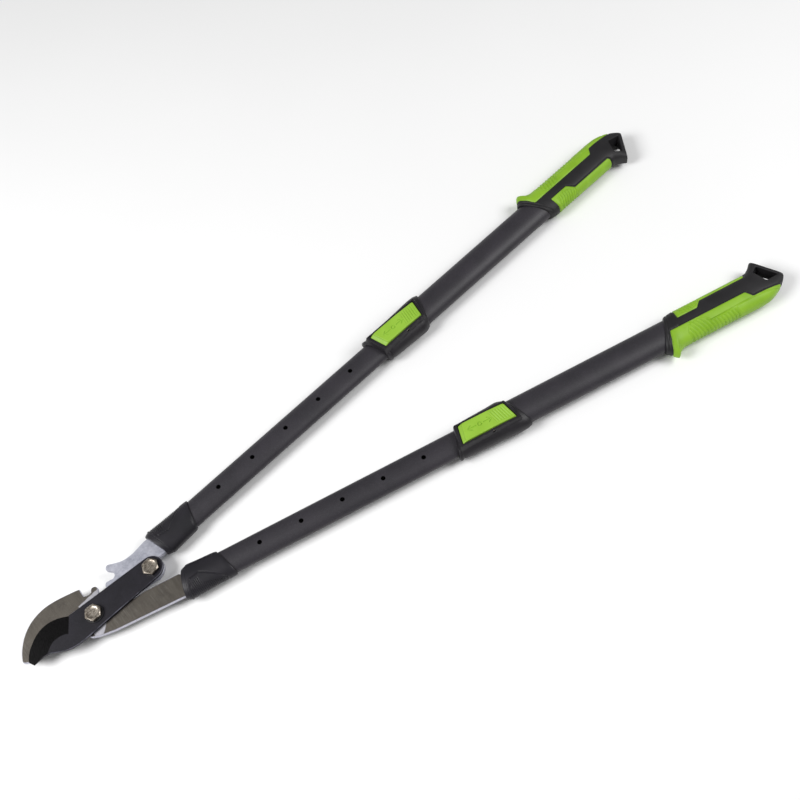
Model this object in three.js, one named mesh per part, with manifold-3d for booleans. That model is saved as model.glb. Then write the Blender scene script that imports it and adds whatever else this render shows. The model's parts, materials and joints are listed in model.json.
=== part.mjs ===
// Telescopic bypass loppers with a geared compound head, millimetres, +Z up.
//
// The head is planned in its own frame: the pivot bolt's axis is x = 0, y = 0, +X runs back
// between the two handles, +Y is the upper handle's side, and z = 0 is the middle of the hook
// plate. Each handle has a frame of its own: x = 0 at its ferrule's mouth, +X towards the grip,
// +Y to the outside of the tool. At the end the whole tool is moved so that its origin is the
// bottom centre of its bounding box.

import * as THREE from 'three';
import { mergeVertices } from 'three/addons/utils/BufferGeometryUtils.js';
import Module from 'manifold-3d';

const wasm = await Module();
wasm.setup();

const GAP = 0.3;                       // clearance between neighbouring pieces

// Head: the gear pair and the plates
const BOLT_SPACING = 75.6;             // pivot bolt to gear bolt
const BOLT_LINE = radians(5.8);        // direction from the pivot bolt to the gear bolt
const SUN_TEETH = 9;                   // teeth that a full wheel would have round the pivot bolt
const PLANET_TEETH = 16;               // and round the gear bolt
const TOOTH_RADIUS = 4;                // every tooth is a round lobe
const GULLET_RADIUS = 4.9;             // every gullet is a round hollow
const SUN_TOOTH_REACH = 28.6;          // lobe centres, from the pivot bolt
const PLANET_TOOTH_REACH = 49.2;       // lobe centres, from the gear bolt
const ROLL_CLEARANCE = 0.5;            // each gear's body stays this far inside its pitch circle
const PLATE_THICK = 5;                 // hook plate and lever gear
const BLADE_THICK = 4;
const BLADE_END_RADIUS = 13.4;         // round end of blade and lever gear about the gear bolt
const TANG_HALF_WIDTH = 12;            // of both tangs inside the tubes
const TANG_NECK_HALF_WIDTH = 13.6;       // of both tangs in front of the ferrules

// Fasteners
const BOLT_DIAMETER = 10;
const HEX_ACROSS_FLATS = 17;
const HEAD_HEIGHT = 4.2;
const NUT_HEIGHT = 8;
const WASHER_DIAMETER = 21;
const PIN_DIAMETER = 5;                // pins through the tangs

// Handles
const HALF_ANGLE = radians(8.35);      // each handle to the middle line, jaws closed
const AXIS_OFFSET = 15.3;              // each handle's axis beside the pivot bolt
const UPPER_START = 94;                // ferrule mouth behind the pivot bolt, along the axis
const LOWER_START = 96.6;
const HOLE_PITCH = 50;
const HOLE_COUNT = 6;
const HOLE_DIAMETER = 5.4;
const FIRST_HOLE = 91;
const LOCKED_HOLE = FIRST_HOLE + (HOLE_COUNT - 1) * HOLE_PITCH;
const TUBE_WALL = 1.5;
const INNER_TUBE = { front: 12.3, rear: 455, a: 15.4, b: 8.7 };
const OUTER_TUBE = { front: 347, rear: 722, a: 18, b: 11.3 };
const ROCKER_PIN = { x: 372, z: 14.6, diameter: 2.8, length: 27 };
const SOFT_THICK = 2;                  // overmould on the grip

const materials = {
  groundSteel: { color: 0x8d8a85, roughness: 0.42, metalness: 0.9 },
  coatedBlade: { color: 0x3a3a3f, roughness: 0.45, metalness: 0.3 },
  zincSteel: { color: 0xc9cad2, roughness: 0.4, metalness: 0.95 },
  nickelSteel: { color: 0xb5ab9f, roughness: 0.3, metalness: 1 },
  blackSteel: { color: 0x1d1d20, roughness: 0.5, metalness: 0.6 },
  paintedTube: { color: 0x3d3c42, roughness: 0.5, metalness: 0.2 },
  blackPlastic: { color: 0x2b2b2f, roughness: 0.6, metalness: 0 },
  greenRubber: { color: 0xa6cf3b, roughness: 0.55, metalness: 0 },
  springSteel: { color: 0x9b9da2, roughness: 0.35, metalness: 1 },
};

function radians(degrees) {
  return (degrees * Math.PI) / 180;
}

function polar(radius, angle, centre = [0, 0]) {
  return [centre[0] + radius * Math.cos(angle), centre[1] + radius * Math.sin(angle)];
}

// ---------------------------------------------------------------- solids

function toSolid(geometry) {
  const bare = geometry.clone();
  bare.deleteAttribute('normal');
  bare.deleteAttribute('uv');
  const merged = mergeVertices(bare, 1e-4);
  return new wasm.Manifold(new wasm.Mesh({
    numProp: 3,
    vertProperties: new Float32Array(merged.attributes.position.array),
    triVerts: new Uint32Array(merged.index.array),
  }));
}

function toGeometry(solid) {
  const mesh = solid.getMesh();
  const geometry = new THREE.BufferGeometry();
  geometry.setAttribute('position', new THREE.BufferAttribute(mesh.vertProperties.slice(), 3));
  geometry.setIndex(Array.from(mesh.triVerts));
  geometry.computeVertexNormals();
  return geometry;
}

function cut(solid, ...tools) {
  return tools.reduce((rest, tool) => rest.subtract(tool), solid);
}

function join(...solids) {
  return solids.reduce((sum, solid) => sum.add(solid));
}

function outline(points) {
  return new THREE.Shape(points.map(([x, y]) => new THREE.Vector2(x, y)));
}

// A flat outline raised from z0 to z1.
function slab(shape, z0, z1, curveSegments = 4) {
  const flat = Array.isArray(shape) ? outline(shape) : shape;
  const options = { depth: z1 - z0, bevelEnabled: false, curveSegments };
  return toSolid(new THREE.ExtrudeGeometry(flat, options).translate(0, 0, z0));
}

function post(radius, z0, z1, [x, y] = [0, 0], sides = 24) {
  const cylinder = new THREE.CylinderGeometry(radius, radius, z1 - z0, sides);
  return toSolid(cylinder.rotateX(Math.PI / 2).translate(x, y, (z0 + z1) / 2));
}

function crossPin(radius, length, x, z, sides = 16) {
  return toSolid(new THREE.CylinderGeometry(radius, radius, length, sides).translate(x, 0, z));
}

// A body lofted through oval sections along X. A station has its place x, its middle y, its
// half width a, its heights up and down from the middle, a slant (how far x changes for each
// millimetre of y), so that ends can be cut askew, and a power: 2 for an ellipse, more for a
// squarer section.
function loft(stations, segments = 28) {
  const positions = [];
  const index = [];
  stations.forEach(({ x, y = 0, a, up, down = up, slant = 0, power = 2 }) => {
    const squared = (value) => Math.sign(value) * Math.abs(value) ** (2 / power);
    for (let j = 0; j < segments; j += 1) {
      const t = (2 * Math.PI * j) / segments;
      const side = y + a * squared(Math.cos(t));
      const height = Math.sin(t) > 0 ? up : down;
      positions.push(x + slant * side, side, height * squared(Math.sin(t)));
    }
  });
  for (let i = 0; i + 1 < stations.length; i += 1) {
    for (let j = 0; j < segments; j += 1) {
      const here = i * segments + j;
      const next = i * segments + ((j + 1) % segments);
      index.push(here, next, next + segments, here, next + segments, here + segments);
    }
  }
  const last = (stations.length - 1) * segments;
  for (let j = 1; j + 1 < segments; j += 1) {
    index.push(0, j + 1, j, last, last + j, last + j + 1);
  }
  const geometry = new THREE.BufferGeometry();
  geometry.setAttribute('position', new THREE.Float32BufferAttribute(positions, 3));
  geometry.setIndex(index);
  return toSolid(geometry);
}

function oval(x0, x1, a, b, segments = 28) {
  return loft([{ x: x0, a, up: b }, { x: x1, a, up: b }], segments);
}

// A closed prism through a row of quadrilateral sections.
function quadPrism(sections) {
  const positions = sections.flat(2);
  const index = [];
  for (let i = 0; i + 1 < sections.length; i += 1) {
    for (let j = 0; j < 4; j += 1) {
      const here = 4 * i + j;
      const next = 4 * i + ((j + 1) % 4);
      index.push(here, next, next + 4, here, next + 4, here + 4);
    }
  }
  const last = 4 * (sections.length - 1);
  index.push(0, 2, 1, 0, 3, 2, last, last + 1, last + 2, last, last + 2, last + 3);
  const geometry = new THREE.BufferGeometry();
  geometry.setAttribute('position', new THREE.Float32BufferAttribute(positions, 3));
  geometry.setIndex(index);
  return toSolid(geometry);
}

// The same outline moved outwards by a margin (inwards if negative), with mitred corners.
function grown(points, margin) {
  const area = points.reduce((sum, [x, y], i) => {
    const [nextX, nextY] = points[(i + 1) % points.length];
    return sum + x * nextY - nextX * y;
  }, 0);
  const turn = Math.sign(area);
  return points.map((point, i) => {
    const before = points[(i + points.length - 1) % points.length];
    const after = points[(i + 1) % points.length];
    const [ax, ay] = unit(point[0] - before[0], point[1] - before[1]);
    const [bx, by] = unit(after[0] - point[0], after[1] - point[1]);
    const [nx, ny] = [turn * (ay + by), -turn * (ax + bx)];
    const scale = margin / (1 + ax * bx + ay * by);
    return [point[0] + nx * scale, point[1] + ny * scale];
  });
}

function unit(x, y) {
  const length = Math.hypot(x, y);
  return [x / length, y / length];
}

function vectors(points) {
  return points.map(([x, y]) => new THREE.Vector2(x, y));
}

// ---------------------------------------------------------------- the tool and its nodes

const tool = new THREE.Group();

function node(parent, name, solid, material) {
  const mesh = new THREE.Mesh(toGeometry(solid), new THREE.MeshStandardMaterial(material));
  mesh.name = name;
  parent.add(mesh);
}

// ---------------------------------------------------------------- head: gears

const PIVOT = [0, 0];
const GEAR_BOLT = polar(BOLT_SPACING, BOLT_LINE);
const SUN_PITCH_RADIUS = (BOLT_SPACING * SUN_TEETH) / (SUN_TEETH + PLANET_TEETH);
const PLANET_PITCH_RADIUS = BOLT_SPACING - SUN_PITCH_RADIUS;
const SUN_STEP = (2 * Math.PI) / SUN_TEETH;
const PLANET_STEP = (2 * Math.PI) / PLANET_TEETH;

function lobes(centre, reach, step, steps, z0, z1) {
  return steps.map(([start, count]) => post(TOOTH_RADIUS, z0, z1,
    polar(reach, start + count * step, centre)));
}

function gullets(centre, reach, step, steps, z0, z1) {
  return steps.map(([start, count]) => post(GULLET_RADIUS, z0, z1,
    polar(reach, start + count * step, centre)));
}

const HALF_PLATE = PLATE_THICK / 2;
const CUT_DEPTH = HALF_PLATE + 1;      // cutters reach past both faces of a plate

// Teeth of the hook plate: a gullet lies on the line between the bolts, so the teeth lie half
// a step to each side of it. The last, shallow gullet is the end stop of the opening stroke.
function sunTeeth() {
  const steps = [-0.5, 0.5, 1.5].map((count) => [BOLT_LINE, count]);
  return lobes(PIVOT, SUN_TOOTH_REACH, SUN_STEP, steps, -HALF_PLATE, HALF_PLATE);
}

function sunGullets() {
  const reach = BOLT_SPACING - PLANET_TOOTH_REACH;
  const steps = [0, 1].map((count) => [BOLT_LINE, count]);
  const endStop = post(GULLET_RADIUS, -CUT_DEPTH, CUT_DEPTH, [3.7, 30.2]);
  return [...gullets(PIVOT, reach, SUN_STEP, steps, -CUT_DEPTH, CUT_DEPTH), endStop];
}

const TOWARDS_PIVOT = Math.PI + BOLT_LINE;

function planetTeeth() {
  const steps = [0, -1, -2].map((count) => [TOWARDS_PIVOT, count]);
  return lobes(GEAR_BOLT, PLANET_TOOTH_REACH, PLANET_STEP, steps, -HALF_PLATE, HALF_PLATE);
}

function planetGullets() {
  const reach = BOLT_SPACING - SUN_TOOTH_REACH;
  const steps = [0.5, -0.5, -1.5].map((count) => [TOWARDS_PIVOT, count]);
  return gullets(GEAR_BOLT, reach, PLANET_STEP, steps, -CUT_DEPTH, CUT_DEPTH);
}

// ---------------------------------------------------------------- handle frames

const UPPER = { name: 'upper', side: 1, start: UPPER_START };
const LOWER = { name: 'lower', side: -1, start: LOWER_START };

// A point of a handle's frame in the head's frame.
function fromHandle({ side, start }, x, y) {
  const along = start + x;
  const px = along * Math.cos(HALF_ANGLE) - y * Math.sin(HALF_ANGLE);
  const py = AXIS_OFFSET + along * Math.sin(HALF_ANGLE) + y * Math.cos(HALF_ANGLE);
  return [px, side * py];
}

const TANG = { shoulder: 6, taper: 10, end: 58 };
const TANG_PINS = [26, 46];

// The part of a tang that lies in the ferrule and the tube, from its outer to its inner edge.
function tangPoints(handle) {
  return [
    [TANG.shoulder, TANG_NECK_HALF_WIDTH],
    [TANG.taper, TANG_HALF_WIDTH],
    [TANG.end, TANG_HALF_WIDTH],
    [TANG.end, -TANG_HALF_WIDTH],
    [TANG.taper, -TANG_HALF_WIDTH],
    [TANG.shoulder, -TANG_NECK_HALF_WIDTH],
  ].map(([x, y]) => fromHandle(handle, x, y));
}

function tangPinHoles(handle) {
  return TANG_PINS.map((x) => post(PIN_DIAMETER / 2 + GAP, -CUT_DEPTH, CUT_DEPTH,
    fromHandle(handle, x, 0), 12));
}

// ---------------------------------------------------------------- head: plates

const BOLT_HOLE = BOLT_DIAMETER / 2 + GAP;

function hookPlate() {
  const tang = tangPoints(LOWER);
  const shape = new THREE.Shape();
  shape.moveTo(-1.4, 28);
  shape.lineTo(-1.4, 37.2);
  shape.splineThru(vectors([[-10, 39.2], [-30, 42.3], [-46, 42], [-62, 36.6], [-75, 26.6],
    [-84, 13.9], [-88.2, 3.6]]));
  shape.splineThru(vectors([[-88, 1.8], [-86, 0.2], [-81, -2.6]]));
  shape.splineThru(vectors([[-77, 2.5], [-69, 10.5], [-58, 16.8], [-47, 18.8], [-37, 17],
    [-28, 11], [-22.5, 2], [-20, -8], [-15.6, -18.4]]));
  shape.splineThru(vectors([[-8, -22.6], [2, -25.6], [12, -28.3]]));
  shape.lineTo(...fromHandle(LOWER, 0, TANG_NECK_HALF_WIDTH));
  tang.forEach((point) => shape.lineTo(...point));
  shape.lineTo(...fromHandle(LOWER, 1, -TANG_NECK_HALF_WIDTH + 2.5));
  shape.lineTo(...fromHandle(LOWER, -2, -TANG_NECK_HALF_WIDTH));
  shape.lineTo(56, -9.6);
  shape.lineTo(33, -9.6);
  shape.lineTo(27, -11);
  shape.lineTo(...polar(SUN_PITCH_RADIUS - ROLL_CLEARANCE - 4, radians(-20)));
  shape.lineTo(0, -4);
  shape.lineTo(-1.4, 20);
  const body = slab(shape, -HALF_PLATE, HALF_PLATE, 3);
  const disc = post(SUN_PITCH_RADIUS - ROLL_CLEARANCE, -HALF_PLATE, HALF_PLATE, PIVOT, 60);
  const plate = join(body, disc, ...sunTeeth());
  const bolt = post(BOLT_HOLE, -CUT_DEPTH, CUT_DEPTH, PIVOT);
  return cut(plate, ...sunGullets(), bolt, ...tangPinHoles(LOWER));
}

function leverGear() {
  const radius = PLANET_PITCH_RADIUS - ROLL_CLEARANCE;
  const low = TOWARDS_PIVOT + 0.5 * PLANET_STEP;
  const high = TOWARDS_PIVOT - 2 * PLANET_STEP;
  const shape = new THREE.Shape();
  shape.moveTo(...polar(radius, low, GEAR_BOLT));
  shape.absarc(...GEAR_BOLT, radius, low, high, true);
  shape.lineTo(...polar(PLANET_TOOTH_REACH + 1, high - 0.06, GEAR_BOLT));
  shape.lineTo(38.6, 42.3);
  shape.splineThru(vectors([[45, 39.4], [51, 37.2], [58, 36.3], [66, 36.9]]));
  shape.lineTo(...fromHandle(UPPER, -10, TANG_NECK_HALF_WIDTH));
  tangPoints(UPPER).forEach((point) => shape.lineTo(...point));
  shape.lineTo(...fromHandle(UPPER, -8, -TANG_NECK_HALF_WIDTH));
  shape.lineTo(...polar(BLADE_END_RADIUS, radians(20), GEAR_BOLT));
  shape.lineTo(...polar(BLADE_END_RADIUS, radians(-90), GEAR_BOLT));
  const body = slab(shape, -HALF_PLATE, HALF_PLATE, 8);
  const end = post(BLADE_END_RADIUS, -HALF_PLATE, HALF_PLATE, GEAR_BOLT, 36);
  const plate = join(body, end, ...planetTeeth());
  const bolt = post(BOLT_HOLE, -CUT_DEPTH, CUT_DEPTH, GEAR_BOLT);
  return cut(plate, ...planetGullets(), bolt, ...tangPinHoles(UPPER));
}

const BLADE_BOTTOM = HALF_PLATE + GAP;
const BLADE_TOP = BLADE_BOTTOM + BLADE_THICK;
const EDGE_THICK = 0.4;                // left at the cutting edge

// Cutting edge from the heel to the tip, and the line where the bevel meets the flat face.
const CUTTING_EDGE = [[-23, 16.4], [-30, 20], [-38, 22.9], [-47, 24.1], [-56, 22.9],
  [-64, 19.4], [-71, 14.3], [-77, 8.5], [-81, 2.5], [-82.9, -2.4]];
const BEVEL_LINE = [[-33, -2.2, 0], [-36.5, -0.3, 0], [-41, 0.7, 0], [-46, 0.9, 0], [-51, 0, 0],
  [-56, -3, 0], [-61, -7.5, 0], [-66, -10, -0.5], [-72, -11, -1.1], [-79, -12, -1.9]];

function bladeBevel() {
  const high = BLADE_TOP + 2;
  const edge = new THREE.CatmullRomCurve3(CUTTING_EDGE.map(([x, y]) => new THREE.Vector3(x, y,
    BLADE_BOTTOM + EDGE_THICK)));
  const line = new THREE.CatmullRomCurve3(BEVEL_LINE.map(([x, y, drop]) => new THREE.Vector3(x, y,
    BLADE_TOP + drop)));
  const count = 12;
  const sections = [];
  for (let i = 0; i <= count; i += 1) {
    const outer = edge.getPoint(i / count);
    const inner = line.getPoint(i / count);
    // the cutter's face runs on a little past the edge, in the same plane
    const beyond = outer.clone().lerp(inner, -0.06);
    sections.push([[beyond.x, beyond.y, beyond.z], [beyond.x, beyond.y, high],
      [inner.x, inner.y, high], [inner.x, inner.y, inner.z]]);
  }
  return quadPrism(sections.reverse());
}

function cuttingBlade() {
  const shape = new THREE.Shape();
  shape.moveTo(-20.5, 16.2);
  shape.absarc(...GEAR_BOLT, BLADE_END_RADIUS, radians(92.9), radians(-82.7), true);
  shape.lineTo(0, -15.8);
  shape.splineThru(vectors([[-10, -17.4], [-20, -18.6], [-30, -19.1], [-40, -17.8],
    [-50, -13.8], [-60, -8.4]]));
  shape.splineThru(vectors([[-66, -7.2], [-73, -8.2], [-79, -9]]));
  shape.lineTo(...CUTTING_EDGE.at(-1));
  shape.splineThru(vectors(CUTTING_EDGE.slice(0, -1).reverse()));
  const blank = slab(shape, BLADE_BOTTOM, BLADE_TOP, 4);
  const holes = [PIVOT, GEAR_BOLT].map((at) => post(BOLT_HOLE, 0, BLADE_TOP + 2, at));
  return cut(blank, bladeBevel(), ...holes);
}

// ---------------------------------------------------------------- head: bolts, washers, nuts

const HEX_RADIUS = HEX_ACROSS_FLATS / Math.sqrt(3);
const WASHER_THICK = { cover: 1, lower: 1.5 };

function hexPost(z0, z1, at, turn) {
  const prism = new THREE.CylinderGeometry(HEX_RADIUS, HEX_RADIUS, z1 - z0, 6);
  prism.rotateX(Math.PI / 2).rotateZ(turn).translate(at[0], at[1], (z0 + z1) / 2);
  return toSolid(prism);
}

function washer(z0, thick, at) {
  const ring = post(WASHER_DIAMETER / 2, z0, z0 + thick, at, 32);
  return cut(ring, post(BOLT_HOLE, z0 - 1, z0 + thick + 1, at));
}

// A bolt through the blade and one plate, with its washer and nut below.
function boltSet(name, at, headBottom, turn, washerName) {
  const washerTop = -HALF_PLATE - GAP;
  const nutTop = washerTop - WASHER_THICK.lower - GAP;
  const nutBottom = nutTop - NUT_HEIGHT;
  const shank = post(BOLT_DIAMETER / 2, nutBottom - 1, headBottom + 1, at);
  const head = hexPost(headBottom, headBottom + HEAD_HEIGHT, at, turn);
  const nut = cut(hexPost(nutBottom, nutTop, at, turn + radians(12)),
    post(BOLT_HOLE, nutBottom - 2, nutTop + 2, at));
  node(tool, `${name}_bolt`, join(shank, head), materials.nickelSteel);
  node(tool, washerName, washer(washerTop - WASHER_THICK.lower, WASHER_THICK.lower, at),
    materials.zincSteel);
  node(tool, `${name}_nut`, nut, materials.zincSteel);
}

function addHead() {
  node(tool, 'hook_plate', hookPlate(), materials.groundSteel);
  node(tool, 'cutting_blade', cuttingBlade(), materials.coatedBlade);
  node(tool, 'lever_gear', leverGear(), materials.zincSteel);
  const coverBottom = BLADE_TOP + GAP;
  node(tool, 'pivot_washer', washer(coverBottom, WASHER_THICK.cover, PIVOT), materials.blackSteel);
  const pivotHead = coverBottom + WASHER_THICK.cover + GAP;
  boltSet('pivot', PIVOT, pivotHead, radians(4), 'pivot_lower_washer');
  boltSet('gear', GEAR_BOLT, coverBottom, radians(14), 'gear_lower_washer');
}

// ---------------------------------------------------------------- handle: tube joint

function ferrule() {
  const sleeve = loft([
    { x: -1, a: 18, up: 11, slant: -0.21 },
    { x: 1.5, a: 19.6, up: 12.4, slant: -0.21 },
    { x: 5, a: 19.4, up: 12.3, slant: -0.1 },
    { x: 45, a: 17.7, up: 11.2, slant: 0.2 },
    { x: 50, a: 17.4, up: 10.9, slant: 0.34 },
  ]);
  const bore = loft([
    { x: 12, a: INNER_TUBE.a + GAP, up: INNER_TUBE.b + GAP },
    { x: 70, a: INNER_TUBE.a + GAP, up: INNER_TUBE.b + GAP },
  ]);
  const half = TANG_NECK_HALF_WIDTH + GAP;
  const slot = slab([[-12, half], [13, half], [13, -half], [-12, -half]],
    -HALF_PLATE - GAP, HALF_PLATE + GAP);
  return cut(sleeve, bore, slot);
}

const INSERT_SIZE = { front: 12.6, rear: 62, lip: GAP };

function tangInsert() {
  const a = INNER_TUBE.a - TUBE_WALL - GAP;
  const b = INNER_TUBE.b - TUBE_WALL - GAP;
  const plug = oval(INSERT_SIZE.front, INSERT_SIZE.rear, a, b, 24);
  const half = TANG_HALF_WIDTH + GAP;
  const slot = slab([[0, half], [TANG.end + GAP, half], [TANG.end + GAP, -half], [0, -half]],
    -HALF_PLATE - GAP, HALF_PLATE + GAP);
  const holes = TANG_PINS.map((x) => post(PIN_DIAMETER / 2 + GAP, -b - 1, b + 1, [x, 0], 12));
  return cut(plug, slot, ...holes);
}

function tangPin(x) {
  const reach = INNER_TUBE.b - 0.2;
  return post(PIN_DIAMETER / 2, -reach, reach, [x, 0], 12);
}

// ---------------------------------------------------------------- handle: tubes

function tube({ front, rear, a, b }) {
  const bore = oval(front - 1, rear + 1, a - TUBE_WALL, b - TUBE_WALL);
  return cut(oval(front, rear, a, b), bore);
}

function innerTube() {
  const top = INNER_TUBE.b + 1;
  const holes = [];
  for (let i = 0; i < HOLE_COUNT; i += 1) {
    holes.push(post(HOLE_DIAMETER / 2, 0, top, [FIRST_HOLE + i * HOLE_PITCH, 0], 12));
  }
  const pinHoles = TANG_PINS.map((x) => post(PIN_DIAMETER / 2 + GAP, -top, top, [x, 0], 12));
  return cut(tube(INNER_TUBE), ...holes, ...pinHoles);
}

const GLIDE_FLANGE = 5;                // the part of the plug behind the inner tube
const GLIDE_DEPTH = 22;                // the part inside it

function glidePlug() {
  const { rear, a, b } = INNER_TUBE;
  const inside = TUBE_WALL + GAP;
  const stem = oval(rear - GLIDE_DEPTH, rear + GAP + 1, a - inside, b - inside, 24);
  const flange = oval(rear + GAP, rear + GLIDE_FLANGE, OUTER_TUBE.a - inside,
    OUTER_TUBE.b - inside, 24);
  const hollow = oval(rear - GLIDE_DEPTH - 1, rear + GLIDE_FLANGE + 1, a - 4.5, b - 4, 24);
  return cut(join(stem, flange), hollow);
}

// ---------------------------------------------------------------- handle: lock

// The rocker seen from above, at its foot and at its top, and from the side.
const ROCKER_FOOT = [[338.8, -10.8], [397, -10.8], [402.3, 10.6], [334, 11.2]];
const ROCKER_TOP = [[342, -10.7], [396.6, -10.6], [401.8, 10.4], [337.2, 11]];
const ROCKER_SIDE = [[330, 12.2], [376, 11.9], [405, 14.4], [405, 16.6], [378, 18.9], [330, 19.4]];
const ROCKER_HEIGHT = [11.9, 19.4];
const ROCKER_PLAY = 0.6;
const RIM_TOP = 17.2;
const RIM_WIDTH = 2.4;

function lockCollar() {
  const barrel = loft([
    { x: 331.5, a: 18.8, up: 11, down: 12.4, slant: -0.3 },
    { x: 333.5, a: 20.4, up: 12.4, down: 13.6, slant: -0.3 },
    { x: 337, a: 20.2, up: 13.4, down: 13.8, slant: -0.25 },
    { x: 344, a: 20.4, up: 16, down: 14, slant: -0.1 },
    { x: 396, a: 22.4, up: 16.4, down: 14.6, slant: 0.25 },
    { x: 402, a: 22.4, up: 14.4, down: 14.6, slant: 0.38 },
    { x: 408, a: 20.4, up: 12.2, down: 13.2, slant: 0.42 },
  ], 32);
  const rim = slab(grown(ROCKER_FOOT, ROCKER_PLAY + RIM_WIDTH), 4, RIM_TOP);
  const front = oval(300, 360, INNER_TUBE.a + GAP, INNER_TUBE.b + GAP);
  const rear = oval(OUTER_TUBE.front - GAP, 460, OUTER_TUBE.a + GAP, OUTER_TUBE.b + GAP);
  const well = slab(grown(ROCKER_FOOT, ROCKER_PLAY), 0, RIM_TOP + 5);
  const pin = crossPin(ROCKER_PIN.diameter / 2 + GAP, 60, ROCKER_PIN.x, ROCKER_PIN.z);
  return cut(join(barrel, rim), front, rear, well, pin);
}

const PEG = { diameter: 4.6, bottom: INNER_TUBE.b + GAP, top: 15 };

function rockerButton() {
  const [low, high] = ROCKER_HEIGHT;
  const tapered = quadPrism([
    ROCKER_FOOT.map(([x, y]) => [x, y, low]),
    ROCKER_TOP.map(([x, y]) => [x, y, high]),
  ]);
  // the side outline is drawn flat in x and y, then stood up
  const side = slab(ROCKER_SIDE, -20, 20).rotate([90, 0, 0]);
  const block = tapered.intersect(side);
  const boss = post(PEG.diameter / 2 + 1, 10.4, low + 1, [LOCKED_HOLE, 0], 24);
  const socket = post(PEG.diameter / 2 + GAP, 5, PEG.top + GAP, [LOCKED_HOLE, 0], 20);
  const pin = crossPin(ROCKER_PIN.diameter / 2 + GAP, 60, ROCKER_PIN.x, ROCKER_PIN.z);
  const springSeat = post(SPRING.coilRadius + SPRING.wire / 2 + 0.5, 5, SPRING.top + GAP,
    [SPRING.x, 0], 20);
  return cut(join(block, boss), socket, pin, springSeat);
}

const SPRING = { x: 390, coilRadius: 2.6, wire: 0.8, turns: 2.5, bottom: OUTER_TUBE.b + GAP,
  top: 15.6, stepsPerTurn: 8 };

function rockerSpring() {
  const half = SPRING.wire / 2;
  const rise = SPRING.top - SPRING.bottom - SPRING.wire;
  const points = [];
  const steps = SPRING.turns * SPRING.stepsPerTurn;
  for (let i = 0; i <= steps; i += 1) {
    const t = (2 * Math.PI * i) / SPRING.stepsPerTurn;
    points.push(new THREE.Vector3(SPRING.x + SPRING.coilRadius * Math.cos(t),
      SPRING.coilRadius * Math.sin(t), SPRING.bottom + half + (rise * i) / steps));
  }
  const wire = new THREE.Shape().absarc(0, 0, half, 0, 2 * Math.PI, false);
  return toSolid(new THREE.ExtrudeGeometry(wire, {
    steps, curveSegments: 3, bevelEnabled: false,
    extrudePath: new THREE.CatmullRomCurve3(points),
  }));
}

// ---------------------------------------------------------------- handle: grip

// Each row: a point of the outer silhouette, the point of the inner one across from it, the
// half height there, and the section's power.
const GRIP_SECTIONS = [
  [588.5, 19.6, 608.5, -19.4, 12.4, 2.2],
  [592, 23.6, 610, -20.6, 13.2, 2.2],
  [596, 28.6, 611.5, -21.2, 13.6, 2.2],
  [598.9, 31, 613, -21.5, 13.6, 2.2],
  [601, 29.6, 614.5, -21.7, 13.6, 2.2],
  [604, 26.2, 616.5, -21.8, 13.6, 2.2],
  [613, 22.3, 621, -21.9, 13.6, 2.3],
  [640, 21.9, 640, -21.9, 13.6, 2.3],
  [712, 21.9, 712, -21.9, 13.6, 2.4],
  [724, 20.9, 719.5, -22.2, 13.2, 2.6],
  [733, 18.4, 725, -23.8, 12, 3],
  [742, 14.2, 730, -26, 10.2, 3.6],
  [749, 9.8, 733.6, -27.8, 8.4, 4.2],
  [753.6, 5, 735.6, -28.6, 7.2, 4.6],
  [756, 1, 737.2, -28.6, 6.6, 5],
];

function gripBody(inset) {
  return loft(GRIP_SECTIONS.map(([xOuter, outer, xInner, inner, up, power]) => {
    const slant = (xOuter - xInner) / (outer - inner);
    const y = (outer + inner) / 2;
    return { x: xOuter - slant * outer, y, a: y - inner - inset, up: up - inset, slant, power };
  }));
}

const OUTER_BAND = [[586, 40], [593.4, 26.8], [603.1, 2.9], [701.4, 2.9], [707.7, 11.2],
  [749, 11.2], [749, 40]];
const INNER_BAND = [[624, -40], [619.6, -7.4], [645.5, -7.4], [653.8, -15.6], [712, -15.6],
  [714.5, -18], [714.5, -40]];
const HANGING_HOLE = [[735, 0.5], [747, -1.5], [733, -20.5], [728, -14]];

function overmould(band) {
  const zone = slab(band, -30, 30);
  return cut(gripBody(0).intersect(zone), gripBody(SOFT_THICK), slab(HANGING_HOLE, -30, 30));
}

function gripCore() {
  const bands = [OUTER_BAND, INNER_BAND].map((band) => slab(grown(band, GAP), -30, 30));
  const shell = cut(gripBody(0), ...bands);
  const core = join(shell, gripBody(SOFT_THICK + GAP));
  const bore = oval(560, OUTER_TUBE.rear + GAP, OUTER_TUBE.a + GAP, OUTER_TUBE.b + GAP);
  return cut(core, bore, slab(HANGING_HOLE, -30, 30));
}

// ---------------------------------------------------------------- one handle

// The lower handle is the upper one's mirror image. Its solids are mirrored, not its group.
function mirrored(solid) {
  const geometry = toGeometry(solid).scale(1, -1, 1);
  const index = geometry.index.array;
  for (let i = 0; i < index.length; i += 3) {
    [index[i], index[i + 1]] = [index[i + 1], index[i]];
  }
  return toSolid(geometry);
}

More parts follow.
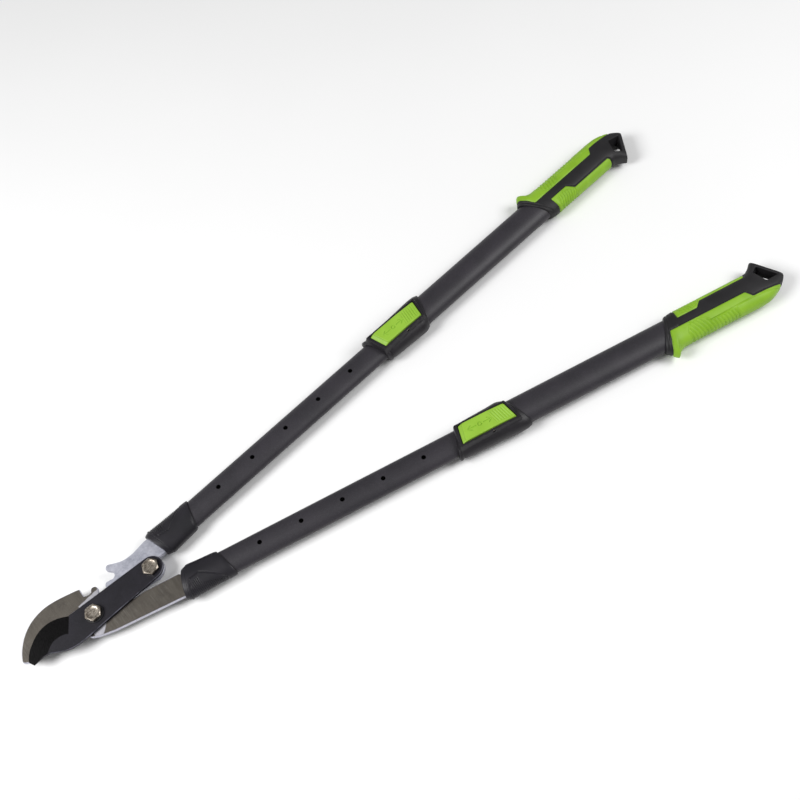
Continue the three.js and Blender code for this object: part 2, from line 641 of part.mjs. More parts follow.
function addHandle(handle) {
  const group = new THREE.Group();
  const [x, y] = fromHandle(handle, 0, 0);
  group.position.set(x, y, 0);
  group.rotation.z = handle.side * HALF_ANGLE;
  tool.add(group);
  const add = (name, solid, material) => {
    const own = handle.side > 0 ? solid : mirrored(solid);
    node(group, `${handle.name}_${name}`, own, material);
  };
  add('ferrule', ferrule(), materials.blackPlastic);
  add('tang_insert', tangInsert(), materials.blackPlastic);
  add('front_tang_pin', tangPin(TANG_PINS[0]), materials.zincSteel);
  add('rear_tang_pin', tangPin(TANG_PINS[1]), materials.zincSteel);
  add('inner_tube', innerTube(), materials.paintedTube);
  add('glide_plug', glidePlug(), materials.blackPlastic);
  add('outer_tube', tube(OUTER_TUBE), materials.paintedTube);
  add('lock_collar', lockCollar(), materials.blackPlastic);
  add('rocker_button', rockerButton(), materials.greenRubber);
  add('rocker_pin', crossPin(ROCKER_PIN.diameter / 2, ROCKER_PIN.length, ROCKER_PIN.x,
    ROCKER_PIN.z), materials.nickelSteel);
  add('rocker_spring', rockerSpring(), materials.springSteel);
  add('lock_peg', post(PEG.diameter / 2, PEG.bottom, PEG.top, [LOCKED_HOLE, 0], 20),
    materials.nickelSteel);
  add('grip_core', gripCore(), materials.blackPlastic);
  add('grip_outer_cover', overmould(OUTER_BAND), materials.greenRubber);
  add('grip_inner_cover', overmould(INNER_BAND), materials.greenRubber);
}

addHead();
addHandle(UPPER);
addHandle(LOWER);

// Origin at the bottom centre of the tool's bounding box.
tool.updateMatrixWorld(true);
const bounds = new THREE.Box3().setFromObject(tool);
const middle = bounds.getCenter(new THREE.Vector3());
tool.position.set(-middle.x, -middle.y, -bounds.min.z);

export default tool;
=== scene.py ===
"""Looks of a pair of telescopic bypass loppers with a geared head.

Shapes are drawn in millimetres in two kinds of local frame, then put into the row frame. The
head frame has its origin on the pivot bolt's axis at the middle of the hook plate, +X towards
the grips, +Y towards the upper handle. Each handle frame has its origin on the tube's axis at
the ferrule's mouth, +X towards the grip, +Y to the outside of the tool. The lower handle is the
upper one mirrored.
"""

import json
import math

import bmesh
import bpy
import numpy as np
from mathutils import Matrix, Vector
from mathutils.geometry import tessellate_polygon


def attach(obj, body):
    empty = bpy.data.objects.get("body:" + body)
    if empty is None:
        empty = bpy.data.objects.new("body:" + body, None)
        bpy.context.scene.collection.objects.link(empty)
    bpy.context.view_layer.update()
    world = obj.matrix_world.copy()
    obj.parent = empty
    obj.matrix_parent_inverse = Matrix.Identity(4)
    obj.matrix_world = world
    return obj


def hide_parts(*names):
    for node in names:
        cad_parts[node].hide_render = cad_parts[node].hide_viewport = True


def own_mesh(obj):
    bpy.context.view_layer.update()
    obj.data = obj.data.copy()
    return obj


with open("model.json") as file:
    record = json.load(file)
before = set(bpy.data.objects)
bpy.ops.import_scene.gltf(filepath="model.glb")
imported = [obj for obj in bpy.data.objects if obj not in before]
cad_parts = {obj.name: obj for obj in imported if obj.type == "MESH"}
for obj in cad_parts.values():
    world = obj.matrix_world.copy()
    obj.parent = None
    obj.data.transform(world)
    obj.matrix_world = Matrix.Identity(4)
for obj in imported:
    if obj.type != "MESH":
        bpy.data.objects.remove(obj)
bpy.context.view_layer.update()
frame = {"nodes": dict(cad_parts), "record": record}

MM = 0.001
JOINTS = {joint["name"]: joint for joint in frame["record"]["behaviour"]["joints"]}

# Head. Plates, nuts, bolt heads and washers are (bottom, top).
PIVOT = (0, 0)
GEAR_BOLT = tuple((Vector(JOINTS["lever_pivot"]["pos_m"])
                   - Vector(JOINTS["blade_pivot"]["pos_m"])).xy / MM)
BOLT_SPACING = math.hypot(*GEAR_BOLT)
BOLT_LINE = math.atan2(GEAR_BOLT[1], GEAR_BOLT[0])
SUN_STEP = math.radians(40)
PLANET_STEP = math.radians(22.5)
TOOTH_RADIUS = 4
GULLET_RADIUS = 4.9
SUN_TOOTH_REACH = 28.6
PLANET_TOOTH_REACH = 49.2
SUN_BODY = 26.7
PLANET_BODY = 47.9
PLATE = (-2.5, 2.5)
BLADE = (2.8, 6.8)
ROUND_END = 13.4
NECK = 13.6
TANG = 12
BOLT_RADIUS = 5
BOLT_HOLE = 5.3
HEX_APOTHEM = 8.5
HEX_FACE = 8.1
HEX_POINTS = 72
NUT = (-12.6, -4.6)
PIVOT_HEAD = (8.4, 12.6)
GEAR_HEAD = (7.1, 11.3)
WASHER_BELOW = (-4.3, -2.8)
WASHER_ABOVE = (7.1, 8.1)

# Handles. Tubes are (front, rear, half width, half height) and bores (half width, half height).
TANG_PINS = (26, 46)
PIN_HOLE_RADIUS = 2.8
INNER_TUBE = (12.3, 455, 15.4, 8.7)
OUTER_TUBE = (347, 722, 18, 11.3)
TUBE_WALL = 1.5
INNER_BORE = (15.7, 9.0)
OUTER_BORE = (18.3, 11.6)
LOCK_HOLES = [91 + 50 * i for i in range(6)]
PIN_X = 372
PIN_Z = 14.6


# -------- frames

def handle_frame(name):
    """From a handle's own frame to the row frame."""
    side = 1 if name == "upper" else -1
    along = Vector(JOINTS[f"{name}_slide"]["axis"]).normalized()
    out = Vector((-along.y, along.x, 0)) * side
    turn = Matrix((along, out, Vector((0, 0, 1)))).transposed().to_4x4()
    pin = Vector(JOINTS[f"{name}_rocker_hinge"]["pos_m"])
    to_pin = Matrix.Translation((-PIN_X, 0, -PIN_Z))
    return Matrix.Translation(pin) @ turn @ Matrix.Scale(MM, 4) @ to_pin


HEAD = Matrix.Translation(JOINTS["blade_pivot"]["pos_m"]) @ Matrix.Scale(MM, 4)
HANDLES = {name: handle_frame(name) for name in ("upper", "lower")}


def from_handle(name, x, y):
    """A point of a handle's frame in the head's frame."""
    return tuple((HEAD.inverted() @ HANDLES[name] @ Vector((x, y, 0))).xy)


# -------- flat outlines

def polar(radius, angle, centre=PIVOT):
    return (centre[0] + radius * math.cos(angle), centre[1] + radius * math.sin(angle))


def arc(centre, radius, start, end, step=0.8):
    """Points along an arc from one angle to another, about step millimetres apart."""
    count = max(3, math.ceil(abs(end - start) * radius / step))
    return [polar(radius, start + (end - start) * i / count, centre) for i in range(count + 1)]


def spline(points, per_span=8):
    """Points along a smooth curve through the given ones."""
    ends = [points[0], *points, points[-1]]
    result = []
    for p0, p1, p2, p3 in zip(ends, ends[1:], ends[2:], ends[3:]):
        for i in range(per_span):
            t = i / per_span
            result.append(tuple(
                0.5 * (2 * b + (c - a) * t + (2 * a - 5 * b + 4 * c - d) * t * t
                       + (3 * b - a - 3 * c + d) * t ** 3)
                for a, b, c, d in zip(p0, p1, p2, p3)))
    result.append(tuple(points[-1]))
    return result


def gear(centre, body, lobes, gullets, start, end, step=0.4):
    """A gear's edge from one angle to another: a disc with round teeth and round hollows.

    Each lobe and gullet is (distance of its centre, angle, radius)."""
    points = []
    count = math.ceil(abs(end - start) * body / step)
    for i in range(count + 1):
        angle = start + (end - start) * i / count
        radius = body
        for sign, rounds in ((1, lobes), (-1, gullets)):
            for reach, at, size in rounds:
                across = reach * math.sin(angle - at)
                if abs(across) < size:
                    edge = reach * math.cos(angle - at) + sign * math.sqrt(size**2 - across**2)
                    radius = sign * max(sign * radius, sign * edge)
        points.append(polar(radius, angle, centre))
    return points


def without_doubles(points, least=0.15):
    kept = []
    for point in points:
        if not kept or math.dist(kept[-1], point) > least:
            kept.append(point)
    if math.dist(kept[0], kept[-1]) <= least:
        kept.pop()
    return kept


def inset(points, margin):
    """An anticlockwise outline moved inwards, or a clockwise one outwards."""
    moved = []
    for i, (x, y) in enumerate(points):
        before = points[i - 1]
        after = points[(i + 1) % len(points)]
        a = Vector((x - before[0], y - before[1])).normalized()
        b = Vector((after[0] - x, after[1] - y)).normalized()
        scale = margin / max(0.5, 1 + a.dot(b))
        moved.append((x - (a.y + b.y) * scale, y + (a.x + b.x) * scale))
    return moved


def circle(centre, radius, count, turn=1):
    """Points round a circle, anticlockwise unless turn is -1."""
    return [polar(radius, turn * 2 * math.pi * i / count, centre) for i in range(count)]


def lift(outline, z):
    return [(x, y, z) for x, y in outline]


def grown(corners, margin):
    """An anticlockwise polygon moved outwards."""
    return inset(corners, -margin)


def rounded(corners, radius, steps=5):
    """The same polygon with its corners rounded."""
    result = []
    others = zip(corners[-1:] + corners[:-1], corners, corners[1:] + corners[:1])
    for before, corner, after in others:
        point = Vector(corner)
        back = (Vector(before) - point).normalized()
        on = (Vector(after) - point).normalized()
        for i in range(steps + 1):
            t = i / steps
            a = point + back * radius * (1 - t)
            b = point + on * radius * t
            result.append(tuple(a.lerp(b, t)))
    return result


# -------- meshes

class Shell:
    """The points and faces of one piece, in millimetres in its own frame."""

    def __init__(self):
        self.points = []
        self.faces = []

    def ring(self, points):
        first = len(self.points)
        self.points.extend(tuple(map(float, point)) for point in points)
        return list(range(first, len(self.points)))

    def level(self, outline, z):
        return self.ring(lift(outline, z))

    def wall(self, low, high):
        """Faces between two rings, outwards where the rings run anticlockwise. A ring of one
        point is a tip."""
        for i in range(max(len(low), len(high))):
            below = [low[j % len(low)] for j in (i, i + 1)]
            above = [high[j % len(high)] for j in (i + 1, i)]
            self.faces.append(tuple(dict.fromkeys(below + above)))

    def walls(self, rings):
        for low, high in zip(rings, rings[1:]):
            self.wall(low, high)

    def fill(self, rings, facing):
        """Triangles over the first ring less the others, which are holes in it."""
        indices = [index for ring in rings for index in ring]
        loops = [[Vector(self.points[index]) for index in ring] for ring in rings]
        for corners in tessellate_polygon(loops):
            a, b, c = (indices[corner] for corner in corners)
            p, q, r = (Vector(self.points[index]) for index in (a, b, c))
            up = (q - p).cross(r - p).z > 0
            self.faces.append((a, b, c) if up == (facing > 0) else (b, a, c))

    def mesh(self, name):
        mesh = bpy.data.meshes.new(name)
        mesh.from_pydata(self.points, [], self.faces)
        mesh.validate()
        mesh.update()
        return mesh


def plate(name, outer, holes, z0, z1, edge=0.45):
    """A flat plate with its edges broken. The outline runs anticlockwise, holes clockwise."""
    shell = Shell()
    loops = []
    for loop in [without_doubles(outer), *holes]:
        small = inset(loop, edge)
        loops.append([shell.level(small, z0), shell.level(loop, z0 + edge),
                      shell.level(loop, z1 - edge), shell.level(small, z1)])
    for rings in loops:
        shell.walls(rings)
    shell.fill([rings[0] for rings in loops], -1)
    shell.fill([rings[-1] for rings in loops], 1)
    return shell.mesh(name)


def outwards(mesh):
    """The same closed mesh with all its faces turned outwards."""
    shape = bmesh.new()
    shape.from_mesh(mesh)
    bmesh.ops.recalc_face_normals(shape, faces=shape.faces)
    shape.to_mesh(mesh)
    shape.free()
    return mesh


def capped(name, rings):
    """A closed body through rings of points, with a face over each end."""
    shell = Shell()
    rings = [shell.ring(ring) for ring in rings]
    shell.walls(rings)
    shell.faces.append(tuple(rings[0][::-1]))
    shell.faces.append(tuple(rings[-1]))
    return outwards(shell.mesh(name))


def add_object(name, data):
    item = bpy.data.objects.new(name, data)
    bpy.context.collection.objects.link(item)
    return item


def combine(mesh, tool, operation):
    """The exact boolean of two meshes."""
    base, other = (add_object("boolean", item) for item in (mesh, tool))
    modifier = base.modifiers.new("boolean", "BOOLEAN")
    modifier.operation = operation
    modifier.solver = "EXACT"
    modifier.object = other
    bpy.context.view_layer.update()
    graph = bpy.context.evaluated_depsgraph_get()
    result = bpy.data.meshes.new_from_object(base.evaluated_get(graph))
    bpy.data.objects.remove(base)
    bpy.data.objects.remove(other)
    return result


def cut(mesh, *tools):
    for tool in tools:
        mesh = combine(mesh, tool, "DIFFERENCE")
    return mesh


def shade(mesh, angle):
    """Smooth shading, sharp where two faces meet at more than angle degrees."""
    shape = bmesh.new()
    shape.from_mesh(mesh)
    for face in shape.faces:
        face.smooth = True
    for edge in shape.edges:
        edge.smooth = edge.calc_face_angle(math.pi) < math.radians(angle)
    shape.to_mesh(mesh)
    shape.free()


def place(name, node, mesh, matrix, body, slot, materials, angle=32):
    """Puts a copy of a mesh into the row frame as a piece that stands for a CAD node. Edges
    sharper than angle degrees stay sharp."""
    own = mesh.copy()
    own.name = name
    own.transform(matrix)
    if matrix.determinant() < 0:
        own.flip_normals()
    shade(own, angle)
    for material in materials:
        own.materials.append(material)
    piece = add_object(name, own)
    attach(piece, body)
    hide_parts(node)
    return piece


# -------- materials

def linear(red, green, blue):
    """A colour given as it is seen, from 0 to 255, as the linear values that a shader takes."""
    parts = [value / 255 for value in (red, green, blue)]
    return tuple(p / 12.92 if p <= 0.04045 else ((p + 0.055) / 1.055) ** 2.4 for p in parts)


class Finish:
    """A procedural material: one Principled shader and the nodes that feed it. Sizes and depths
    are in metres."""

    def __init__(self, name, **sockets):
        self.material = bpy.data.materials.new(name)
        self.material.use_nodes = True
        self.nodes = self.material.node_tree.nodes
        self.links = self.material.node_tree.links
        self.shader = self.nodes["Principled BSDF"]
        self.place = self.nodes.new("ShaderNodeTexCoord").outputs["Object"]
        self.feed_all(self.shader, sockets)

    def feed(self, source, socket):
        if hasattr(source, "links"):
            self.links.new(source, socket)
        else:
            socket.default_value = source

    def feed_all(self, node, sockets):
        for name, source in sockets.items():
            self.feed(source, node.inputs[name.replace("_", " ")])

    def node(self, kind, **sockets):
        node = self.nodes.new(f"ShaderNode{kind}")
        self.feed_all(node, sockets)
        return node

    def stretched(self, degrees, along):
        """Coordinates turned about Z, then stretched along their first axis."""
        node = self.node("Mapping", Vector=self.place, Rotation=(0, 0, math.radians(degrees)),
                         Scale=(along, 1, 1))
        node.vector_type = "TEXTURE"
        return node.outputs["Vector"]

    def noise(self, size, detail=2.0, rough=0.5, where=None):
        """Noise whose blotches are about size across."""
        node = self.node("TexNoise", Vector=where or self.place, Scale=1 / size, Detail=detail,
                         Roughness=rough)
        return node.outputs["Fac"]

    def cells(self, size):
        """A random value for each grain, about size across."""
        node = self.node("TexVoronoi", Vector=self.place, Scale=1 / size)
        return self.node("SeparateColor", Color=node.outputs["Color"]).outputs["Red"]

    def spread(self, value, low, high, to_low=0.0, to_high=1.0):
        """The value with low..high stretched to to_low..to_high, and held at both ends."""
        node = self.node("MapRange", Value=value, From_Min=low, From_Max=high, To_Min=to_low,
                         To_Max=to_high)
        node.interpolation_type = "SMOOTHSTEP"
        return node.outputs["Result"]

    def math(self, operation, a, b):
        node = self.node("Math")
        node.operation = operation
        self.feed(a, node.inputs[0])
        self.feed(b, node.inputs[1])
        return node.outputs["Value"]

    def mix(self, factor, a, b):
        """From colour a to colour b, each a node's output or three values from 0 to 255."""
        node = self.node("Mix", Factor=factor)
        node.data_type = "RGBA"
        for socket, value in zip(node.inputs[6:8], (a, b)):
            self.feed((*linear(*value), 1) if isinstance(value, tuple) else value, socket)
        return node.outputs[2]

    def blend(self, value, dark, light, low=0.3, high=0.7):
        """From the dark colour, where the value is low, to the light one."""
        return self.mix(self.spread(value, low, high), dark, light)

    def beyond(self, point, direction):
        """How far, in millimetres, a place lies beyond a line of the head frame. The line goes
        through the point, square to the direction."""
        normal = Vector((*direction, 0)).normalized()
        dot = self.node("VectorMath")
        dot.operation = "DOT_PRODUCT"
        self.feed(self.place, dot.inputs[0])
        self.feed(normal / MM, dot.inputs[1])
        start = (HEAD @ Vector((*point, 0))).dot(normal) / MM
        return self.math("SUBTRACT", dot.outputs["Value"], start)

    def colour(self, source):
        self.feed(source, self.shader.inputs["Base Color"])

    def roughness(self, value, low, high):
        self.feed(self.spread(value, 0.3, 0.7, low, high), self.shader.inputs["Roughness"])

    def bump(self, height, depth):
        """Relief of the given depth, on top of the relief so far."""
        node = self.node("Bump", Height=height, Distance=depth)
        normal = self.shader.inputs["Normal"]
        if normal.links:
            self.feed(normal.links[0].from_socket, node.inputs["Normal"])
        self.feed(node.outputs["Normal"], normal)


def moulded(name, light, dark, roughness, grain=0.0006, depth=0.00006):
    """Moulded plastic or rubber: an eroded grain, slightly clouded."""
    finish = Finish(name, Specular_IOR_Level=0.35)
    finish.colour(finish.blend(finish.noise(0.018, 3), dark, light))
    fine = finish.noise(grain, 2, 0.6)
    finish.roughness(fine, roughness - 0.07, roughness + 0.07)
    finish.bump(fine, depth)
    return finish.material


def powder_coat():
    finish = Finish("powder_coat", Specular_IOR_Level=0.45)
    speck = finish.math("MULTIPLY", finish.spread(finish.cells(0.0005), 0.6, 1.0), 0.35)
    base = finish.blend(finish.noise(0.03, 3), (37, 35, 40), (44, 41, 47))
    finish.colour(finish.mix(speck, base, (66, 64, 70)))
    orange_peel = finish.noise(0.0006, 2, 0.5)
    finish.roughness(orange_peel, 0.42, 0.55)
    finish.bump(orange_peel, 0.00005)
    finish.bump(finish.noise(0.00025, 1), 0.00002)
    return finish.material


def ground_hook():
    """Steel ground across its length, left bright where the blade rubs."""
    finish = Finish("ground_hook", Metallic=0.75, Specular_IOR_Level=0.5)
    lines = finish.noise(0.0005, 3, 0.7, finish.stretched(95, 40))
    broad = finish.noise(0.004, 3, 0.6, finish.stretched(95, 5))
    stain = finish.spread(finish.noise(0.02, 5, 0.7), 0.45, 0.75, 0, 0.5)
    grit = finish.spread(finish.noise(0.0006, 2, 0.7), 0.55, 0.75, 0, 0.4)
    patch = finish.spread(finish.noise(0.03, 2), 0.45, 0.65, 0.15, 1)
    scratches = finish.math("MULTIPLY", finish.spread(lines, 0.5, 0.74, 0, 0.6), patch)
    base = finish.blend(broad, (87, 82, 76), (95, 90, 83), 0.25, 0.75)
    base = finish.mix(scratches, base, (134, 131, 126))
    base = finish.mix(stain, base, (66, 63, 60))
    base = finish.mix(grit, base, (138, 135, 130))
    # the bright place is bounded by three lines, ragged along two of them
    ragged = finish.math("MULTIPLY", broad, 2.0)
    behind = finish.math("ADD", finish.beyond((10.5, -10.5), (1, -1)), ragged)
    above = finish.math("ADD", finish.beyond((10, 24), (-0.18, 1)), ragged)
    ahead = finish.beyond((-10, 0), (-1, 0))
    outside = finish.math("MAXIMUM", finish.math("MAXIMUM", behind, above), ahead)
    bright = finish.spread(outside, 0.3, 1.6, 1, 0)
    finish.colour(finish.mix(bright, base, (178, 177, 184)))
    finish.roughness(lines, 0.34, 0.5)
    finish.bump(lines, 0.00003)
    return finish.material


def zinc_plating():
    finish = Finish("zinc_plating", Metallic=0.8, Specular_IOR_Level=0.5)
    spangle = finish.math("MULTIPLY", finish.cells(0.0016), 0.35)
    base = finish.blend(finish.noise(0.012, 4, 0.6), (158, 160, 173), (192, 193, 204))
    finish.colour(finish.mix(spangle, base, (212, 213, 222)))
    finish.roughness(finish.noise(0.0008, 2), 0.36, 0.52)
    finish.bump(finish.noise(0.0007, 3, 0.6), 0.00007)
    return finish.material


def coated_blade():
    finish = Finish("coated_blade", Specular_IOR_Level=0.28)
    fleck = finish.math("MULTIPLY", finish.spread(finish.cells(0.0006), 0.75, 1.0), 0.3)
    base = finish.blend(finish.noise(0.02, 4, 0.6), (16, 14, 22), (24, 22, 30))
    finish.colour(finish.mix(fleck, base, (46, 46, 54)))
    fine = finish.noise(0.0005, 2, 0.6)
    finish.roughness(fine, 0.4, 0.52)
    finish.bump(fine, 0.00005)
    return finish.material


def ground_bevel():
    """The bevel, ground along lines across the edge before it was coated."""
    finish = Finish("ground_bevel", Specular_IOR_Level=0.12)
    lines = finish.noise(0.0004, 3, 0.7, finish.stretched(75, 50))
    finish.colour(finish.blend(lines, (7, 7, 7), (18, 17, 18)))
    finish.roughness(lines, 0.25, 0.4)
    finish.bump(lines, 0.00004)
    return finish.material


def rim_highlight_paint():
    """The blade's broken edges, painted lighter than the coating as a highlight along the rim."""
    finish = Finish("rim_highlight_paint", Metallic=0.3)
    patches = finish.noise(0.008, 4, 0.6)
    finish.colour(finish.blend(patches, (52, 52, 59), (104, 104, 116), 0.4, 0.7))
    finish.roughness(patches, 0.35, 0.5)
    return finish.material


def sheared_edge_highlight():
    """The hook plate's cut edges: uneven streaks of sheared steel, painted bright as a highlight of
    reflected white light.
    """
    finish = Finish("sheared_edge_highlight", Metallic=0.55)
    streaks = finish.noise(0.0012, 3, 0.6)
    finish.colour(finish.blend(streaks, (168, 168, 182), (208, 208, 220)))
    finish.roughness(streaks, 0.35, 0.55)
    finish.bump(streaks, 0.00006)
    return finish.material


def nickel_plating():
    finish = Finish("nickel_plating", Metallic=1.0)
    cloud = finish.noise(0.0025, 4, 0.7)
    finish.colour(finish.blend(cloud, (128, 118, 107), (190, 181, 169), 0.35, 0.65))
    scratch = finish.noise(0.0004, 2, 0.6, finish.stretched(20, 18))
    finish.roughness(scratch, 0.24, 0.38)
    finish.bump(scratch, 0.00003)
    return finish.material


def black_oxide():
    finish = Finish("black_oxide", Metallic=0.3)
    cloud = finish.noise(0.003, 3, 0.6)
    finish.colour(finish.blend(cloud, (24, 24, 27), (38, 38, 41)))
    finish.roughness(cloud, 0.4, 0.55)
    finish.bump(finish.noise(0.0006, 2), 0.00004)
    return finish.material


tube_paint = powder_coat()
hook_steel = ground_hook()
zinc = zinc_plating()
blade_coat = coated_blade()
blade_bevel = ground_bevel()
blade_rim_highlight = rim_highlight_paint()
sheared_steel_highlight = sheared_edge_highlight()
nickel = nickel_plating()
black_washer = black_oxide()
black_plastic = moulded("black_plastic", (33, 31, 37), (25, 24, 29), 0.46)
collar_plastic = moulded("collar_plastic", (34, 32, 36), (27, 25, 29), 0.44)
grip_plastic = moulded("grip_plastic", (33, 32, 34), (26, 25, 27), 0.52)
green_soft = moulded("green_soft", (137, 181, 44), (126, 170, 34), 0.5, grain=0.0008)
green_hard = moulded("green_hard", (146, 189, 60), (138, 181, 52), 0.5, grain=0.001,
                     depth=0.00004)


# -------- head

def bolt_hole(centre):
    return circle(centre, BOLT_HOLE, 40, turn=-1)


def pin_holes(name):
    return [circle(from_handle(name, x, 0), PIN_HOLE_RADIUS, 20, turn=-1) for x in TANG_PINS]


def tang(name):
    """A tang's outline from its outer to its inner edge."""
    corners = [(6, NECK), (10, TANG), (58, TANG), (58, -TANG), (10, -TANG), (6, -NECK)]
    return [from_handle(name, x, y) for x, y in corners]


def hook_plate():
    teeth = [(SUN_TOOTH_REACH, BOLT_LINE + n * SUN_STEP, TOOTH_RADIUS) for n in (-0.5, 0.5, 1.5)]
    reach = BOLT_SPACING - PLANET_TOOTH_REACH
    hollows = [(reach, BOLT_LINE + n * SUN_STEP, GULLET_RADIUS) for n in (0, 1)]
    behind_blade = (3.7, 30.2)
    hollows.append((math.hypot(*behind_blade), math.atan2(*behind_blade[::-1]), GULLET_RADIUS))
    back = [(-1.4, 37.2), (-10, 39.2), (-30, 42.3), (-46, 42), (-62, 36.6), (-75, 26.6),
            (-84, 13.9), (-88.2, 3.6)]
    tip = [(-88, 1.8), (-86, 0.2), (-81, -2.6)]
    throat = [(-77, 2.5), (-69, 10.5), (-58, 16.8), (-47, 18.8), (-37, 17), (-28, 11), (-22.5, 2),
              (-20, -8), (-15.6, -18.4)]
    belly = [(-8, -22.6), (2, -25.6), (12, -28.3)]
    outline = [
        (-1.4, 31.5), *spline(back), *spline(tip), *spline(throat), *spline(belly),
        from_handle("lower", 0, NECK), *tang("lower"),
        from_handle("lower", 1, 2.5 - NECK), from_handle("lower", -2, -NECK),
        (56, -9.6), (33, -9.6), (29.5, -9.9),
        *gear(PIVOT, SUN_BODY, teeth, hollows, math.radians(-21.5), math.radians(92.1)),
    ]
    body = plate("hook_plate", outline, [bolt_hole(PIVOT), *pin_holes("lower")], *PLATE)
    for face in body.polygons:
        is_edge = abs(face.normal.z) < 0.9
        face.material_index = int(is_edge)
    return body


def lever_gear():
    inward = math.pi + BOLT_LINE
    teeth = [(PLANET_TOOTH_REACH, inward - n * PLANET_STEP, TOOTH_RADIUS) for n in (0, 1, 2)]
    reach = BOLT_SPACING - SUN_TOOTH_REACH
    hollows = [(reach, inward + n * PLANET_STEP, GULLET_RADIUS) for n in (0.5, -0.5, -1.5)]
    outline = [
        *gear(GEAR_BOLT, PLANET_BODY, teeth, hollows, math.radians(199), math.radians(136.7)),
        (38.6, 42.3), *spline([(45, 39.4), (51, 37.2), (58, 36.3), (66, 36.9)]),
        from_handle("upper", -10, NECK), *tang("upper"), from_handle("upper", -8, -NECK),
        *arc(GEAR_BOLT, ROUND_END, math.radians(24), math.radians(-90)),
    ]
    holes = [bolt_hole(GEAR_BOLT), *pin_holes("upper")]
    return plate("lever_gear", outline[::-1], holes, *PLATE)


CUTTING_EDGE = [(-23, 16.4), (-30, 20), (-38, 22.9), (-47, 24.1), (-56, 22.9), (-64, 19.4),
                (-71, 14.3), (-77, 8.5), (-81, 2.5), (-82.9, -2.4)]
# where the ground bevel meets the flat face: x, y and how far below the flat face
BEVEL_LINE = [(-33, -2.2, 0), (-36.5, -0.3, 0), (-41, 0.7, 0), (-46, 0.9, 0), (-51, 0, 0),
              (-56, -3, 0), (-61, -7.5, 0), (-66, -10, -0.5), (-72, -11, -1.1), (-79, -12, -1.9)]
EDGE_THICK = 0.4


def bevel_cutter():
    """The space above the ground bevel, through four-cornered sections."""
    outer = spline([(x, y, BLADE[0] + EDGE_THICK) for x, y in CUTTING_EDGE])
    inner = spline([(x, y, BLADE[1] + drop) for x, y, drop in BEVEL_LINE])
    high = BLADE[1] + 2
    rings = []
    for edge, line in zip(outer, inner):
        beyond = Vector(edge).lerp(Vector(line), -0.06)
        rings.append([beyond, (*beyond.xy, high), (line[0], line[1], high), line])
    return capped("bevel_cutter", rings)


def cutting_blade():
    """The blade. Its ground bevel takes the second material and its broken edges the third."""
    belly = [(0, -15.8), (-10, -17.4), (-20, -18.6), (-30, -19.1), (-40, -17.8), (-50, -13.8),
             (-60, -8.4)]
    back = [(-66, -7.2), (-73, -8.2), (-79, -9)]
    outline = [
        (-20.5, 16.2), *arc(GEAR_BOLT, ROUND_END, math.radians(92.9), math.radians(-82.7)),
        *spline(belly), *spline(back), *spline(CUTTING_EDGE)[::-1],
    ]
    holes = [bolt_hole(PIVOT), bolt_hole(GEAR_BOLT)]
    blank = plate("cutting_blade", outline[::-1], holes, *BLADE, edge=0.7)
    blade = cut(blank, bevel_cutter())
    for face in blade.polygons:
        tilt = face.normal.z
        face.material_index = 1 if 0.93 < tilt < 0.9995 else 2 if 0.3 < tilt < 0.93 else 0
    return blade


def hex_solid(name, at, turn, z0, z1, below, above):
    """A turned solid round a hexagon that reaches from z0 up to z1, its corners turned down at
    both ends. The profiles below and above it are (radius, z); a radius of 0 is a tip."""
    shell = Shell()
    steps = [2 * math.pi * i / HEX_POINTS for i in range(HEX_POINTS)]

    def rounds(profile):
        return [shell.level([polar(radius, step + turn + math.pi / 6, at) for step in steps]
                            if radius else [at], z) for radius, z in profile]

    low = []
    high = []
    for step in steps:
        radius = HEX_APOTHEM / math.cos((step + math.pi / 6) % (math.pi / 3) - math.pi / 6)
        drop = 0.25 + (radius - HEX_APOTHEM) * 0.55
        x, y = polar(radius, step + turn + math.pi / 6, at)
        low.append((x, y, z0 + drop))
        high.append((x, y, z1 - drop))
    rings = [*rounds(below), shell.ring(low), shell.ring(high), *rounds(above)]
    is_hollow = below[0][0] > 0
    shell.walls([*rings, rings[0]] if is_hollow else rings)
    return shell.mesh(name)


def hex_bolt(name, at, head, turn):
    """A bolt with a dished hexagon head."""
    z0, z1 = head
    tip = NUT[0] - 1
    dish = z1 - 0.62
    shank = [(0, tip), (BOLT_RADIUS - 0.6, tip), (BOLT_RADIUS, tip + 0.6), (BOLT_RADIUS, z0),
             (HEX_APOTHEM - 0.3, z0)]
    face = [(HEX_FACE, z1), (7.0, z1 + 0.02), (6.7, z1 - 0.12), (6.5, z1 - 0.45),
            (6.0, z1 - 0.6), (3, dish), (0, dish)]
    return hex_solid(name, at, turn, z0, z1, shank, face)


def hex_nut(name, at, turn):
    z0, z1 = NUT
    chamfer = 0.5
    bore = [(BOLT_HOLE, z1 - chamfer), (BOLT_HOLE, z0 + chamfer), (BOLT_HOLE + chamfer, z0),
            (HEX_FACE, z0)]
    top = [(HEX_FACE, z1), (BOLT_HOLE + chamfer, z1)]
    return hex_solid(name, at, turn, z0, z1, bore, top)


def washer(name, at, z0, z1):
    rim = 10.5
    edge = 0.25
    profile = [(BOLT_HOLE, z1 - edge), (BOLT_HOLE, z0 + edge), (BOLT_HOLE + edge, z0),
               (rim - edge, z0), (rim, z0 + edge), (rim, z1 - edge), (rim - edge, z1),
               (BOLT_HOLE + edge, z1)]
    shell = Shell()
    rings = [shell.level(circle(at, radius, 64), z) for radius, z in profile]
    shell.walls([*rings, rings[0]])
    return shell.mesh(name)


